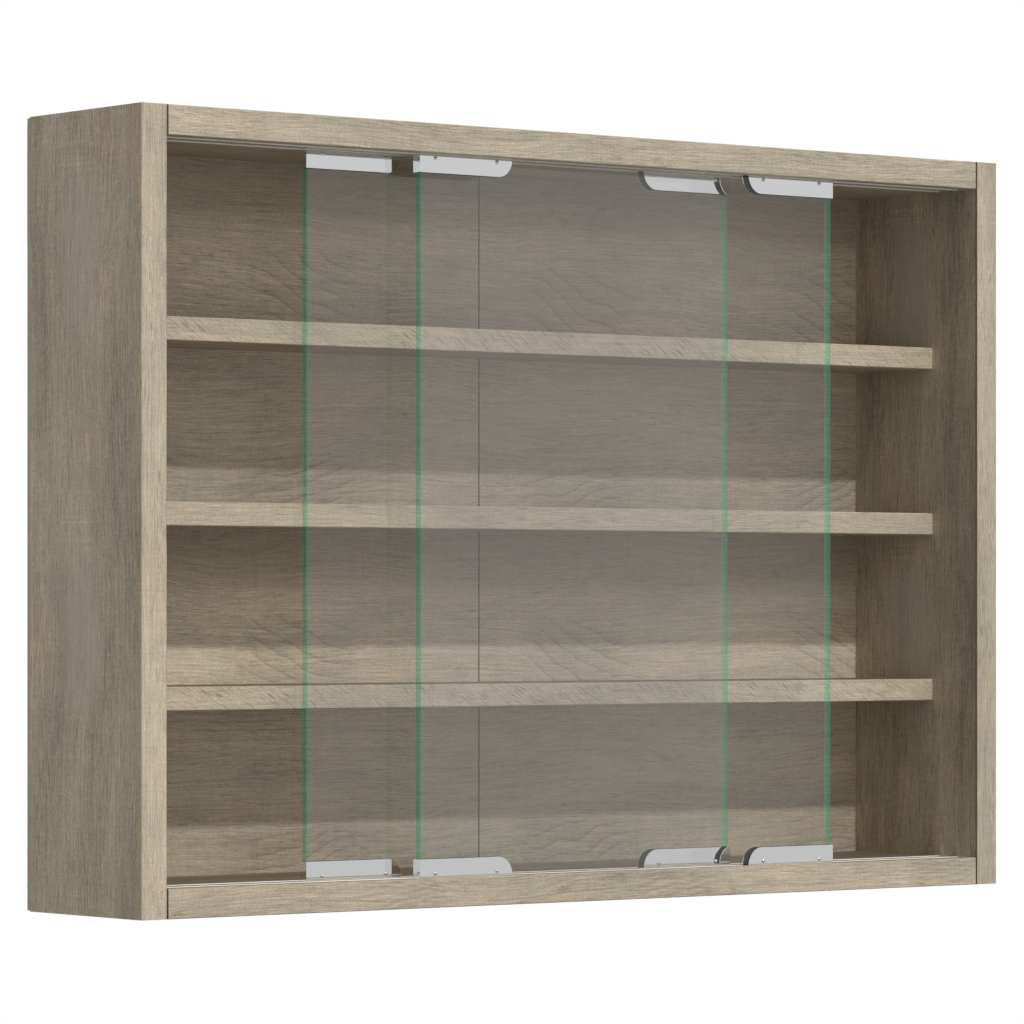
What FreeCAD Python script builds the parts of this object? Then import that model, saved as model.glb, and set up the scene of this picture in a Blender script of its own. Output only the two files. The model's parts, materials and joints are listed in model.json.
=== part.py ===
import FreeCAD, Part
import os
import Sketcher
from types import SimpleNamespace

# Wall display cabinet with three shelves and two sliding glass panes.
# Lengths are in millimetres. X runs to the right, Y into the wall and Z up. The origin lies on
# the wall, midway between the entry holes of the two keyhole plates that carry the cabinet.

# Driving dimensions, kept in the document's sheet under these names
DIMENSIONS = {
    # Boards
    "cabinet_width": 573,
    "cabinet_height": 400,
    "carcass_depth": 100,
    "board_thickness": 15,
    "shelf_thickness": 12,
    "shelf_setback": 36,
    "band_thickness": 1,
    "band_chamfer": 0.4,
    "corner_groove": 0.8,
    "back_thickness": 3,
    "back_inset": 0.5,
    "back_seam": 0.8,
    "tape_width": 40,
    "tape_thickness": 0.3,
    "tape_inset": 10,
    # Guide rails
    "rail_width": 7.8,
    "rail_wall": 0.8,
    "rail_end_gap": 0.2,
    "bottom_rail_height": 4,
    "top_rail_height": 8,
    "front_rail_setback": 11.9,
    "rail_pitch": 14.8,
    # Glass panes and where they stand in their rails, from the middle of the cabinet
    "pane_width": 282,
    "glass_thickness": 4,
    "glass_arris": 0.4,
    "rear_pane_offset": -28.85,
    "front_pane_offset": 32.05,
    # Corner shoes
    "shoe_length": 60,
    "shoe_reach": 9.4,
    "shoe_radius": 9,
    "shoe_sheet": 0.5,
    "liner_thickness": 0.3,
    "glide_height": 1.2,
    "glide_inset": 2,
    "glide_chamfer": 0.9,
    "glide_gap": 0.1,
    "lug_width": 2.4,
    "lug_length": 6,
    "lug_inset": 16,
    "pip_radius": 1,
    "pip_tip_radius": 0.4,
    "pip_height": 0.9,
    "pip_inset": 10,
    "pip_lift": 1.9,
    # Dowels, cam bolts and cam locks
    "dowel_radius": 3,
    "dowel_length": 30,
    "dowel_in_side": 10,
    "front_dowel_setback": 46,
    "rear_dowel_setback": 80,
    "shelf_dowel_inset": 14,
    "cam_setback": 63,
    "cam_from_end": 24,
    "cam_radius": 7.5,
    "cam_height": 12,
    "cam_recess_depth": 2,
    "cam_recess_width": 1.6,
    "cam_recess_length": 7,
    "fitting_play": 0.2,
    "bolt_thread_radius": 2.5,
    "bolt_thread_length": 11,
    "bolt_shank_radius": 3,
    "bolt_neck_radius": 2,
    "bolt_head_radius": 3.3,
    "bolt_head_length": 3,
    # Nails of the back panel
    "nail_length": 20,
    "nail_shank_radius": 0.7,
    "nail_head_radius": 2.2,
    "nail_head_height": 0.8,
    # Keyhole plates
    "hanger_drop": 34,
    "hanger_thickness": 1.5,
    "hanger_width": 12.4,
    "hanger_length": 60,
    "hanger_top_gap": 4,
    "keyhole_entry_radius": 4,
    "keyhole_slot_radius": 2.1,
    "keyhole_travel": 10,
    "keyhole_pocket_radius": 5,
    "keyhole_pocket_depth": 6,
    "screw_inset": 6,
    "screw_length": 16,
    "screw_shank_radius": 1.75,
    "screw_head_radius": 3,
    "screw_head_height": 1.25,
    # How far a cutting tool runs past the face that it opens
    "overrun": 1,
}

# Where the back's nails stand, as shares of the half width and of the cabinet's height
RIM_NAIL_SHARES = (0.2, 0.7)
SHELF_NAIL_SHARES = (0.15,)
SIDE_NAIL_SHARES = (0.15, 0.385, 0.615)

# Small round pieces that repeat, and their holes, are drawn with this many flats
DOWEL_FLAT_COUNT = 8
BOLT_FLAT_COUNT = 12
CAM_FLAT_COUNT = 16
PIP_FLAT_COUNT = 6
NAIL_FLAT_COUNT = 6

SHELF_NAMES = ("lower_shelf", "middle_shelf", "upper_shelf")
LEFT, RIGHT = -1, 1
LOW, HIGH = -1, 1
SIDE_NAMES = {LEFT: "left", RIGHT: "right"}
LEVEL_NAMES = {LOW: "bottom", HIGH: "top"}

X_AXIS = FreeCAD.Vector(1, 0, 0)
Y_AXIS = FreeCAD.Vector(0, 1, 0)
Z_AXIS = FreeCAD.Vector(0, 0, 1)
UPRIGHT = FreeCAD.Rotation()
# A cylinder stands along Z. These turns lay it along X, and along Y towards the front.
ALONG_X = FreeCAD.Rotation(Y_AXIS, 90)
TO_FRONT = FreeCAD.Rotation(X_AXIS, 90)
# Pieces of the four corners are drawn for the lower left one. They are alike from the front and
# the back, so a half turn takes each to its own corner.
CORNER_TURNS = {
    (LEFT, LOW): UPRIGHT,
    (RIGHT, LOW): FreeCAD.Rotation(Z_AXIS, 180),
    (LEFT, HIGH): FreeCAD.Rotation(X_AXIS, 180),
    (RIGHT, HIGH): FreeCAD.Rotation(Y_AXIS, 180),
}

doc = FreeCAD.newDocument("wall_display_cabinet")
nodes = {}


class Size:
    """A length: the formula that the document keeps for it, and its value today."""

    def __init__(self, formula, value):
        self.formula = formula
        self.value = value

    def __add__(self, other):
        other = as_size(other)
        return Size(f"({self.formula} + {other.formula})", self.value + other.value)

    def __sub__(self, other):
        other = as_size(other)
        return Size(f"({self.formula} - {other.formula})", self.value - other.value)

    def __mul__(self, factor):
        return Size(f"({self.formula} * {factor})", self.value * factor)

    def __truediv__(self, factor):
        return Size(f"({self.formula} / {factor})", self.value / factor)

    def __neg__(self):
        return self * -1


def as_size(length):
    return length if isinstance(length, Size) else Size(str(length), length)


def make_sheet():
    """Write the driving dimensions to the sheet and return them as sizes."""
    sheet = doc.addObject("Spreadsheet::Sheet", "Sizes")
    for row, (name, value) in enumerate(DIMENSIONS.items(), start=1):
        sheet.set(f"A{row}", name)
        sheet.set(f"B{row}", str(value))
        sheet.setAlias(f"B{row}", name)
    doc.recompute()
    return SimpleNamespace(**{name: Size(f"Sizes.{name}", value) for name, value in DIMENSIONS.items()})


size = make_sheet()
ZERO = as_size(0)

# Planes of the cabinet
half_width = size.cabinet_width / 2
inner_half = half_width - size.board_thickness
top = size.hanger_drop
bottom = top - size.cabinet_height
middle = top - size.cabinet_height / 2
back_rear = -size.hanger_thickness
carcass_rear = back_rear - size.back_thickness
carcass_front = carcass_rear - size.carcass_depth
boards_front = carcass_front + size.band_thickness
shelves_front = carcass_front + size.shelf_setback
inner_bottom = bottom + size.board_thickness
shelf_pitch = (size.cabinet_height - size.board_thickness * 2) / (len(SHELF_NAMES) + 1)
shelf_bottoms = {
    name: inner_bottom + shelf_pitch * (index + 1) - size.shelf_thickness / 2
    for index, name in enumerate(SHELF_NAMES)
}

# Rails and shoes
rail_setbacks = {"front": size.front_rail_setback, "rear": size.front_rail_setback + size.rail_pitch}
rail_heights = {LOW: size.bottom_rail_height, HIGH: size.top_rail_height}
shoe_base = inner_bottom - size.bottom_rail_height + size.rail_wall + size.glide_gap + size.glide_height
shoe_height = inner_bottom + size.shoe_reach - shoe_base
shoe_thickness = size.glass_thickness + (size.liner_thickness + size.shoe_sheet) * 2
shoe_bed = size.shoe_sheet + size.liner_thickness


def bind(item, **sizes):
    """Tie properties of an object to sizes of the sheet."""
    for name, length in sizes.items():
        item.setExpression(name, as_size(length).formula)


def place(item, at, turn=UPRIGHT):
    """Put an object at a point given in sizes, turned as given."""
    item.Placement = FreeCAD.Placement(FreeCAD.Vector(), turn)
    for axis, length in zip("xyz", at):
        item.setExpression(f"Placement.Base.{axis}", as_size(length).formula)
    return item


def node(item, name):
    """Name a finished piece, which is written to a file of its own."""
    item.Label = name
    nodes[name] = item
    return item


def block(name, low, high):
    """A box between two corners."""
    box = doc.addObject("Part::Box", name)
    length, width, height = (as_size(far) - near for near, far in zip(low, high))
    bind(box, Length=length, Width=width, Height=height)
    return place(box, low)


def rod(name, radius, length, at, turn):
    """A cylinder from a point, along Z as it is turned."""
    cylinder = doc.addObject("Part::Cylinder", name)
    bind(cylinder, Radius=radius, Height=length)
    return place(cylinder, at, turn)


def flatted_rod(name, radius, length, at, turn, flats):
    """A slim round bar drawn with flats, from a point, along Z as it is turned."""
    prism = doc.addObject("Part::Prism", name)
    prism.Polygon = flats
    bind(prism, Circumradius=radius, Height=length)
    return place(prism, at, turn)


def tapered_rod(name, start_radius, end_radius, length, at, turn, flats):
    """As a flatted rod, but narrowing from one radius to another."""
    ends = []
    for radius, height in ((start_radius, ZERO), (end_radius, length)):
        outline = doc.addObject("Part::RegularPolygon", name + "_end")
        outline.Polygon = flats
        bind(outline, Circumradius=radius)
        ends.append(place(outline, (ZERO, ZERO, height)))
    loft = doc.addObject("Part::Loft", name)
    loft.Sections = ends
    loft.Solid = True
    loft.Ruled = True
    return place(loft, at, turn)


def fuse(name, shapes):
    joined = doc.addObject("Part::MultiFuse", name)
    joined.Shapes = shapes
    return joined


def group(name, shapes):
    """Separate solids kept together as one object."""
    compound = doc.addObject("Part::Compound", name)
    compound.Links = shapes
    return compound


def cut(name, base, tools):
    """The base with every tool taken out of it."""
    cutting = doc.addObject("Part::Cut", name)
    cutting.Base = base
    cutting.Tool = tools[0] if len(tools) == 1 else group(name + "_tools", tools)
    return cutting


def copy(name, original, at, turn=UPRIGHT):
    """The same piece again at another place."""
    link = doc.addObject("App::Link", name)
    link.LinkedObject = original
    link.LinkTransform = True
    return place(link, at, turn)


def sketch_on(body, plane):
    sketch = body.newObject("Sketcher::SketchObject", body.Name + "_sketch")
    support = [feature for feature in body.Origin.OriginFeatures if feature.Role == plane][0]
    sketch.AttachmentSupport = [(support, "")]
    sketch.MapMode = "FlatFace"
    return sketch


def hold(sketch, edge, end, point):
    """Dimension one end of a sketch's edge from the sketch's origin."""
    for kind, length in zip(("DistanceX", "DistanceY"), point):
        index = sketch.addConstraint(Sketcher.Constraint(kind, -1, 1, edge, end, length.value))
        sketch.setExpression(f"Constraints[{index}]", length.formula)


def towards(start, end):
    """The unit steps from one corner of a square outline to the next."""
    return [(b.value > a.value) - (b.value < a.value) for a, b in zip(start, end)]


def as_vector(point):
    return FreeCAD.Vector(point[0].value, point[1].value, 0)


def draw_outline(sketch, corners):
    """A closed outline through corners, anticlockwise. A corner with a third size is rounded by it,
    and its two edges run along the sketch's axes."""
    corners = [tuple(as_size(length) for length in corner) for corner in corners]
    runs = []
    for before, corner, after in zip(corners[-1:] + corners[:-1], corners, corners[1:] + corners[:1]):
        if len(corner) == 2:
            runs.append((corner, corner, None))
            continue
        x, y, radius = corner
        back_x, back_y = towards(corner[:2], before[:2])
        on_x, on_y = towards(corner[:2], after[:2])
        start = (x + radius * back_x, y + radius * back_y)
        end = (x + radius * on_x, y + radius * on_y)
        centre = (start[0] + radius * on_x, start[1] + radius * on_y)
        runs.append((start, end, (centre, radius)))
    edges = []
    for (start, end, bend), (next_start, _, _) in zip(runs, runs[1:] + runs[:1]):
        if bend:
            centre, radius = bend
            circle = Part.Circle(as_vector(centre), Z_AXIS, radius.value)
            first, last = (circle.parameter(as_vector(point)) for point in (start, end))
            arc = sketch.addGeometry(Part.ArcOfCircle(circle, first, last), False)
            hold(sketch, arc, 1, start)
            index = sketch.addConstraint(Sketcher.Constraint("Radius", arc, radius.value))
            sketch.setExpression(f"Constraints[{index}]", radius.formula)
            edges.append(arc)
        line = sketch.addGeometry(Part.LineSegment(as_vector(end), as_vector(next_start)), False)
        hold(sketch, line, 1, end)
        edges.append(line)
    for edge, following in zip(edges, edges[1:] + edges[:1]):
        sketch.addConstraint(Sketcher.Constraint("Coincident", edge, 2, following, 1))


def add_feature(body, kind, sketch, length, midplane=True):
    """Pad or pocket a sketch by a length, to both sides of its plane unless said otherwise."""
    feature = body.newObject("PartDesign::" + kind, f"{body.Name}_{kind}")
    feature.Profile = sketch
    feature.Midplane = midplane
    bind(feature, Length=length)
    return feature


def profile(name, plane, corners, length, at=(ZERO, ZERO, ZERO), turn=UPRIGHT):
    """A body padded from an outline, to both sides of its plane."""
    body = doc.addObject("PartDesign::Body", name)
    sketch = sketch_on(body, plane)
    draw_outline(sketch, corners)
    add_feature(body, "Pad", sketch, length)
    return place(body, at, turn)


def pocket(body, plane, corners, length):
    """Take an outline out of a body, to both sides of its plane."""
    sketch = sketch_on(body, plane)
    draw_outline(sketch, corners)
    return add_feature(body, "Pocket", sketch, length)


def rectangle(low, high):
    """Corners of a rectangle, anticlockwise."""
    return [low, (high[0], low[1]), high, (low[0], high[1])]


def dowel(name, at):
    return flatted_rod(name, size.dowel_radius, size.dowel_length, at, ALONG_X, DOWEL_FLAT_COUNT)


def corner_dowels():
    """Dowels across the four corner joints, two to a joint, with a fitting between them."""
    reach = inner_half + size.dowel_in_side
    dowels = []
    for side, level in CORNER_TURNS:
        for setback in (size.front_dowel_setback, size.rear_dowel_setback):
            start = reach * side if side == LEFT else reach - size.dowel_length
            height = middle + (size.cabinet_height / 2 - size.board_thickness / 2) * level
            at = (start, carcass_front + setback, height)
            dowels.append(dowel("corner_dowel", at))
    return group("corner_dowels", dowels)


def shelf_dowels():
    """Dowels that carry the shelves, two at each end."""
    reach = inner_half + size.dowel_in_side
    setbacks = (shelves_front + size.shelf_dowel_inset, carcass_rear - size.shelf_dowel_inset)
    dowels = []
    for shelf_bottom in shelf_bottoms.values():
        for start in (-reach, reach - size.dowel_length):
            for setback in setbacks:
                at = (start, setback, shelf_bottom + size.shelf_thickness / 2)
                dowels.append(dowel("shelf_dowel", at))
    return group("shelf_dowels", dowels)


def corner_copies(name, original, from_middle, depth, from_level):
    """A piece drawn for the lower left corner, at all four corners."""
    return [
        copy(f"{name}_{SIDE_NAMES[side]}_{LEVEL_NAMES[level]}", original,
             (from_middle * side, depth, middle + from_level * level), turn)
        for (side, level), turn in CORNER_TURNS.items()
    ]


def cam_fittings():
    """Cam bolts, the cam locks that draw them in, and the holes that they need in the boards."""
    neck_start = size.cam_from_end - size.cam_radius - size.fitting_play
    head_start = size.cam_from_end - size.bolt_head_length / 2
    stretches = {
        "bolt_thread": (size.bolt_thread_radius, -size.bolt_thread_length, ZERO),
        "bolt_shank": (size.bolt_shank_radius, ZERO, neck_start),
        "bolt_neck": (size.bolt_neck_radius, neck_start, head_start),
        "bolt_head": (size.bolt_head_radius, head_start, head_start + size.bolt_head_length),
    }
    bolt = fuse("cam_bolt", [
        flatted_rod(name, radius, far - near, (near, ZERO, ZERO), ALONG_X, BOLT_FLAT_COUNT)
        for name, (radius, near, far) in stretches.items()
    ])
    bolt_hole = flatted_rod("bolt_hole", size.bolt_shank_radius + size.fitting_play, size.cam_from_end,
                            (ZERO, ZERO, ZERO), ALONG_X, BOLT_FLAT_COUNT)

    # The lock's visible face is at zero, and the bolt reaches it from the left at half the board
    axis = size.board_thickness / 2
    origin = (ZERO, ZERO, ZERO)
    blank = flatted_rod("cam_blank", size.cam_radius, size.cam_height, origin, UPRIGHT, CAM_FLAT_COUNT)
    slot_top = size.cam_height + size.overrun
    neck_half = size.bolt_neck_radius + size.fitting_play
    head_half = size.bolt_head_radius + size.fitting_play
    head_reach = size.bolt_head_length / 2 + size.fitting_play
    recess_half, recess_reach = size.cam_recess_width / 2, size.cam_recess_length / 2
    lock = cut("cam_lock", blank, [
        block("cam_neck_slot", (-(size.cam_radius + size.overrun), -neck_half, axis - neck_half),
              (ZERO, neck_half, slot_top)),
        block("cam_head_slot", (-head_reach, -head_half, axis - head_half),
              (head_reach, head_half, slot_top)),
        block("cam_recess_along", (-recess_reach, -recess_half, -size.overrun),
              (recess_reach, recess_half, size.cam_recess_depth)),
        block("cam_recess_across", (-recess_half, -recess_reach, -size.overrun),
              (recess_half, recess_reach, size.cam_recess_depth)),
    ])
    bore = flatted_rod("cam_bore", size.cam_radius + size.fitting_play, size.cam_height, origin, UPRIGHT,
                       CAM_FLAT_COUNT)

    depth = carcass_front + size.cam_setback
    outer_face = size.cabinet_height / 2
    board_middle = outer_face - size.board_thickness / 2
    lock_middle = inner_half - size.cam_from_end
    return SimpleNamespace(
        bolts=group("cam_bolts", corner_copies("cam_bolt", bolt, inner_half, depth, board_middle)),
        locks=group("cam_locks", corner_copies("cam_lock", lock, lock_middle, depth, outer_face)),
        holes=group("cam_holes", corner_copies("bolt_hole", bolt_hole, inner_half, depth, board_middle)
                    + corner_copies("cam_bore", bore, lock_middle, depth, outer_face)),
    )


def back_nails():
    """Flat-headed nails through the back, into every board behind it."""
    nail = fuse("back_nail", [
        flatted_rod(name, radius, length, (ZERO, ZERO, ZERO), TO_FRONT, NAIL_FLAT_COUNT)
        for name, radius, length in (("nail_shank", size.nail_shank_radius, size.nail_length),
                                     ("nail_head", size.nail_head_radius, size.nail_head_height))
    ])
    side_line = half_width - size.board_thickness / 2
    rim_line = size.cabinet_height / 2 - size.board_thickness / 2
    places = []
    for side in SIDE_NAMES:
        for share in SIDE_NAIL_SHARES:
            places.append((side_line * side, bottom + size.cabinet_height * share))
        for share in RIM_NAIL_SHARES:
            for level in LEVEL_NAMES:
                places.append((half_width * (share * side), middle + rim_line * level))
        for share in SHELF_NAIL_SHARES:
            for shelf_bottom in shelf_bottoms.values():
                places.append((half_width * (share * side), shelf_bottom + size.shelf_thickness / 2))
    return group("back_nails", [copy("nail", nail, (x, back_rear, z)) for x, z in places])


def hanger_fittings():
    """Keyhole plates on the back of the side panels, their screws and the pockets behind them."""
    plate_x = half_width - size.board_thickness / 2
    plate_top = top - size.hanger_top_gap
    plate_bottom = plate_top - size.hanger_length
    plate_middle = plate_top - size.hanger_length / 2

    head = tapered_rod("screw_head", size.screw_head_radius, size.screw_shank_radius, size.screw_head_height,
                       (ZERO, ZERO, ZERO), TO_FRONT, BOLT_FLAT_COUNT)
    shank = flatted_rod("screw_shank", size.screw_shank_radius, size.screw_length - size.screw_head_height,
                        (ZERO, -size.screw_head_height, ZERO), TO_FRONT, BOLT_FLAT_COUNT)
    screw = fuse("hanger_screw", [head, shank])
    screw_heights = (plate_bottom + size.screw_inset, plate_top - size.screw_inset)
    screws = group("hanger_screws", [copy("screw", screw, (plate_x * side, ZERO, height))
                                     for side in SIDE_NAMES for height in screw_heights])

    def keyhole(name, x, entry_radius, slot_radius, depth):
        """A round entry with a slot that runs up from it, cut from the wall side."""
        start = size.overrun
        reach = depth + size.overrun
        return fuse(name, [
            rod(name + "_entry", entry_radius, reach, (x, start, ZERO), TO_FRONT),
            rod(name + "_end", slot_radius, reach, (x, start, size.keyhole_travel), TO_FRONT),
            block(name + "_slot", (x - slot_radius, start - reach, ZERO),
                  (x + slot_radius, start, size.keyhole_travel)),
        ])

    pocket_depth = size.hanger_thickness + size.back_thickness + size.keyhole_pocket_depth
    pockets = []
    half_size = (size.hanger_width / 2, size.hanger_length / 2)
    plate_corners = rectangle((-half_size[0], -half_size[1]), half_size)
    for side, side_name in SIDE_NAMES.items():
        x = plate_x * side
        blank = profile(f"{side_name}_hanger_blank", "XZ_Plane", plate_corners, size.hanger_thickness,
                        (x, -size.hanger_thickness / 2, plate_middle))
        hole = keyhole(f"{side_name}_keyhole", x, size.keyhole_entry_radius, size.keyhole_slot_radius,
                       size.hanger_thickness + size.overrun)
        name = f"{side_name}_hanger_plate"
        node(cut(name, blank, [hole, screws]), name)
        pockets.append(keyhole(f"{side_name}_keyhole_pocket", x, size.keyhole_pocket_radius,
                               size.keyhole_pocket_radius, pocket_depth))
    return SimpleNamespace(screws=screws, pockets=group("keyhole_pockets", pockets))


def level_planes(level):
    """Heights of a horizontal board's outer face, inner face and rail groove."""
    outer = middle + size.cabinet_height / 2 * level
    inner = outer - size.board_thickness * level
    return outer, inner, inner + rail_heights[level] * level


def grooved_section(level):
    """Section of the top or bottom board, with a groove for each rail in its inner face."""
    outer, inner, groove = level_planes(level)
    corners = [(boards_front, outer), (boards_front, inner)]
    for setback in rail_setbacks.values():
        near = carcass_front + setback - size.rail_width / 2
        far = near + size.rail_width
        corners += [(near, inner), (near, groove), (far, groove), (far, inner)]
    return corners + [(carcass_rear, inner), (carcass_rear, outer)]


def rail_section(level, setback):
    """Section of a guide rail: a channel that is flush with the board it is let into."""
    _, inner, groove = level_planes(level)
    floor = groove - size.rail_wall * level
    near = carcass_front + setback - size.rail_width / 2
    far = near + size.rail_width
    near_wall, far_wall = near + size.rail_wall, far - size.rail_wall
    return [(near, inner), (near, groove), (far, groove), (far, inner),
            (far_wall, inner), (far_wall, floor), (near_wall, floor), (near_wall, inner)]


def band_section(low, high, front):
    """Section of an edge band across a board's edge, as pairs of width and depth."""
    chamfer = size.band_chamfer
    rear = front + size.band_thickness
    return [(low, rear), (low, front + chamfer), (low + chamfer, front),
            (high - chamfer, front), (high, front + chamfer), (high, rear)]


def carcass(dowels, shelf_pegs, cams, nails, hangers):
    """Side panels, top and bottom boards, shelves and back halves."""
    panel_tools = [dowels, shelf_pegs, cams.bolts, nails, hangers.screws, hangers.pockets]
    for side, side_name in SIDE_NAMES.items():
        outer = -half_width if side == LEFT else inner_half
        low = (outer, boards_front, bottom)
        high = (outer + size.board_thickness, carcass_rear, top)
        name = f"{side_name}_side_panel"
        node(cut(name, block(name + "_blank", low, high), panel_tools), name)

    for level, level_name in LEVEL_NAMES.items():
        name = f"{level_name}_board"
        blank = profile(name + "_blank", "YZ_Plane", grooved_section(level), inner_half * 2)
        node(cut(name, blank, [dowels, cams.holes, nails]), name)

    for name, shelf_bottom in shelf_bottoms.items():
        low = (-inner_half, shelves_front + size.band_thickness, shelf_bottom)
        high = (inner_half, carcass_rear, shelf_bottom + size.shelf_thickness)
        node(cut(name, block(name + "_blank", low, high), [shelf_pegs, nails]), name)

    back_low, back_high = bottom + size.back_inset, top - size.back_inset
    for side, side_name in SIDE_NAMES.items():
        edges = (size.back_seam / 2 * side, (half_width - size.back_inset) * side)
        left, right = edges if side == RIGHT else edges[::-1]
        name = f"back_panel_{side_name}"
        blank = block(name + "_blank", (left, carcass_rear, back_low), (right, back_rear, back_high))
        node(cut(name, blank, [nails, hangers.screws, hangers.pockets]), name)
    half_tape = size.tape_width / 2
    node(block("back_joint_tape", (-half_tape, back_rear, bottom + size.tape_inset),
               (half_tape, back_rear + size.tape_thickness, top - size.tape_inset)), "back_joint_tape")


def edge_bands():
    """Bands on the front edges. A groove is left at each end of the top and bottom ones."""
    for side, side_name in SIDE_NAMES.items():
        low = -half_width if side == LEFT else inner_half
        section = band_section(low, low + size.board_thickness, carcass_front)
        name = f"{side_name}_side_edge_band"
        node(profile(name, "XY_Plane", section, size.cabinet_height, (ZERO, ZERO, middle)), name)

    flat_bands = {
        f"{level_name}_edge_band": (min(level_planes(level)[:2], key=lambda plane: plane.value),
                                    size.board_thickness, carcass_front, size.corner_groove)
        for level, level_name in LEVEL_NAMES.items()
    }
    for shelf_name, shelf_bottom in shelf_bottoms.items():
        flat_bands[f"{shelf_name}_edge_band"] = (shelf_bottom, size.shelf_thickness, shelves_front, ZERO)
    for name, (low, thickness, front, end_groove) in flat_bands.items():
        section = [(depth, height) for height, depth in band_section(low, low + thickness, front)]
        node(profile(name, "YZ_Plane", section, (inner_half - end_groove) * 2), name)


def guide_rails():
    for level, level_name in LEVEL_NAMES.items():
        for track, setback in rail_setbacks.items():
            name = f"{level_name}_{track}_rail"
            node(profile(name, "YZ_Plane", rail_section(level, setback),
                         (inner_half - size.rail_end_gap) * 2), name)


def shoe_shell(name, at, turn):
    """A folded sheet shoe for the lower left corner: two faces, a web below and a closed end."""
    outline = rectangle((ZERO, ZERO), (size.shoe_length, shoe_height))
    outline[2] += (size.shoe_radius,)
    shell = profile(name, "XZ_Plane", outline, shoe_thickness, at, turn)
    hollow = rectangle((size.shoe_sheet, size.shoe_sheet),
                       (size.shoe_length + size.overrun, shoe_height + size.overrun))
    pocket(shell, "XZ_Plane", hollow, shoe_thickness - size.shoe_sheet * 2)
    for low, high in lug_places():
        pocket(shell, "XY_Plane", rectangle(low, high), (size.shoe_sheet + size.overrun) * 2)
    return shell


def shoe_liner(name, at, turn):
    """The black liner between a shoe and the glass, with the shoe's own outline."""
    outline = rectangle((size.shoe_sheet, size.shoe_sheet), (size.shoe_length, shoe_height))
    outline[2] += (size.shoe_radius,)
    liner = profile(name, "XZ_Plane", outline, shoe_thickness - size.shoe_sheet * 2, at, turn)
    hollow = rectangle((shoe_bed, shoe_bed), (size.shoe_length + size.overrun, shoe_height + size.overrun))
    pocket(liner, "XZ_Plane", hollow, size.glass_thickness)
    return liner


def shoe_glide(name, at, turn):
    """The strip under a shoe that runs in the rail, with two lugs in the shoe's web."""
    near, far = size.glide_inset, size.shoe_length - size.glide_inset
    chamfer_top = size.glide_chamfer - size.glide_height
    outline = [(near, chamfer_top), (near + size.glide_chamfer, -size.glide_height),
               (far - size.glide_chamfer, -size.glide_height), (far, chamfer_top), (far, ZERO), (near, ZERO)]
    glide = profile(name, "XZ_Plane", outline, shoe_thickness, at, turn)
    for low, high in lug_places():
        lug = sketch_on(glide, "XY_Plane")
        draw_outline(lug, rectangle(low, high))
        add_feature(glide, "Pad", lug, size.shoe_sheet, midplane=False)
    return glide


def lug_places():
    """Low and high corners of the two lugs that hold a glide, seen from above."""
    reach = (size.lug_length / 2, size.lug_width / 2)
    centres = (size.lug_inset, size.shoe_length - size.lug_inset)
    return [((x - reach[0], -reach[1]), (x + reach[0], reach[1])) for x in centres]


def pip_places():
    """Where the pips sit on a shoe's face, from the shoe's outer lower corner."""
    lift = inner_bottom + size.pip_lift - shoe_base
    return [(size.pip_inset, lift), (size.shoe_length - size.pip_inset, lift)]


def glass_pane(name, at):
    """A clear pane whose long edges are lightly ground."""
    half_glass = size.pane_width / 2 - shoe_bed
    half_height = middle - shoe_base - shoe_bed
    pane = profile(name, "XZ_Plane", rectangle((-half_glass, -half_height), (half_glass, half_height)),
                   size.glass_thickness, at)
    doc.recompute()
    pad = pane.Tip
    faces = [f"Face{index}" for index, face in enumerate(pad.Shape.Faces, start=1)
             if abs(face.normalAt(0, 0).dot(Y_AXIS)) > abs(face.normalAt(0, 0).dot(X_AXIS + Z_AXIS))]
    arris = pane.newObject("PartDesign::Chamfer", name + "_arris")
    arris.Base = (pad, faces)
    bind(arris, Size=size.glass_arris)
    return pane


def sliding_door(track, offset):
    """A glass pane with its four corner shoes."""
    depth = carcass_front + rail_setbacks[track]
    node(glass_pane(f"{track}_glass", (offset, depth, middle)), f"{track}_glass")

    pip = tapered_rod(f"{track}_pip", size.pip_radius, size.pip_tip_radius, size.pip_height,
                      (ZERO, ZERO, ZERO), TO_FRONT, PIP_FLAT_COUNT)
    pips = []
    half_span = middle - shoe_base
    for (side, level), turn in CORNER_TURNS.items():
        corner = f"{track}_{LEVEL_NAMES[level]}_{SIDE_NAMES[side]}"
        at = (offset + size.pane_width / 2 * side, depth, middle + half_span * level)
        node(shoe_shell(f"{corner}_shoe", at, turn), f"{corner}_shoe")
        node(shoe_liner(f"{corner}_liner", at, turn), f"{corner}_liner")
        node(shoe_glide(f"{corner}_glide", at, turn), f"{corner}_glide")
        for along, up in pip_places():
            for facing, facing_turn in ((-1, UPRIGHT), (1, FreeCAD.Rotation(Z_AXIS, 180))):
                pip_at = (at[0] - along * side, depth + shoe_thickness / 2 * facing, at[2] - up * level)
                pips.append(copy(f"{corner}_pip", pip, pip_at, facing_turn))
    node(group(f"{track}_shoe_pips", pips), f"{track}_shoe_pips")


def check_document():
    """Stop if an object failed, or if a piece is empty or not valid."""
    for item in doc.Objects:
        if "Invalid" in item.State or "Error" in item.State:
            raise RuntimeError(f"{item.Label} failed: {item.State}")
    for name, piece in nodes.items():
        if piece.Shape.isNull() or not piece.Shape.isValid() or not piece.Shape.Solids:
            raise RuntimeError(f"{name} is empty or not valid")


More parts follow.
